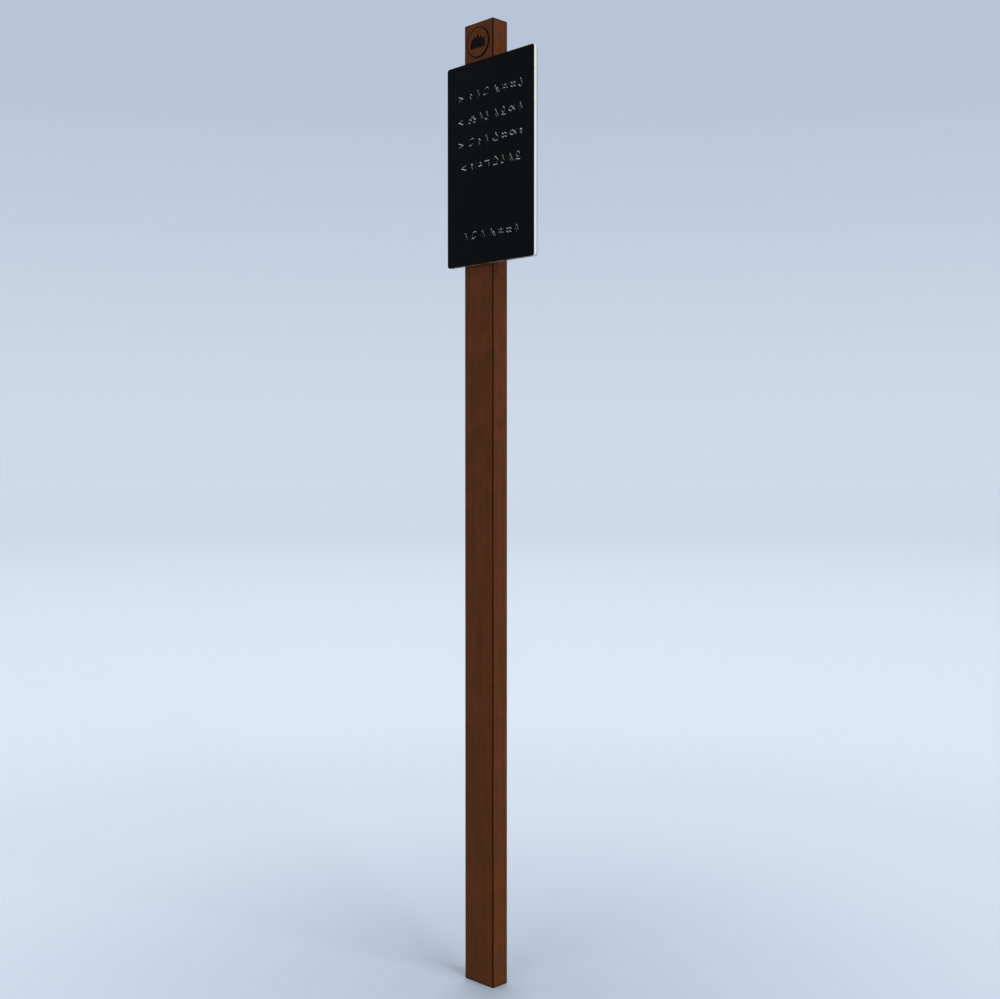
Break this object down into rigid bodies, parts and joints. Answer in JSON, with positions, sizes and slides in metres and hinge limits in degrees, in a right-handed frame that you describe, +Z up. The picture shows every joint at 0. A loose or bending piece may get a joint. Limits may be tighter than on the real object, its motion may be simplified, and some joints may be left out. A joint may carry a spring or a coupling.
{
  "type": "park interpretation sign",
  "caption": "Tall brown plastic-lumber post with a round brown disc at its top and, below it, a round-cornered black and white layered panel bolted to its front, offset to one side.",
  "frame": {"origin": "centre of the post's foot, on the flat face that bears on the bottom of its hole", "axes": "+Z up along the post, -Y out of the face that is read, +X to the reader's right"},
  "size_m": [0.3048, 0.0635, 2.4384],
  "materials": {
    "brown_lumber": "matt brown recycled plastic lumber with faint lengthwise streaks",
    "brown_disc": "smooth brown moulded plastic with a darker rim",
    "black_skin": "fine-grained black sheet plastic",
    "white_core": "sawn and routed white sheet plastic",
    "stainless": "satin stainless steel",
    "insert_brass": "turned brass"
  },
  "bodies": {
    "root": {"post": "brown_lumber", "emblem_disc": "brown_disc", "panel_front_skin": "black_skin", "panel_core": "white_core", "panel_rear_skin": "black_skin", "bolt_top_left": "stainless", "bolt_top_right": "stainless", "bolt_middle_left": "stainless", "bolt_middle_right": "stainless", "bolt_bottom_left": "stainless", "bolt_bottom_right": "stainless", "washer_top_left": "stainless", "washer_top_right": "stainless", "washer_middle_left": "stainless", "washer_middle_right": "stainless", "washer_bottom_left": "stainless", "washer_bottom_right": "stainless", "insert_top_left": "insert_brass", "insert_top_right": "insert_brass", "insert_middle_left": "insert_brass", "insert_middle_right": "insert_brass", "insert_bottom_left": "insert_brass", "insert_bottom_right": "insert_brass"}
  },
  "joints": []
}
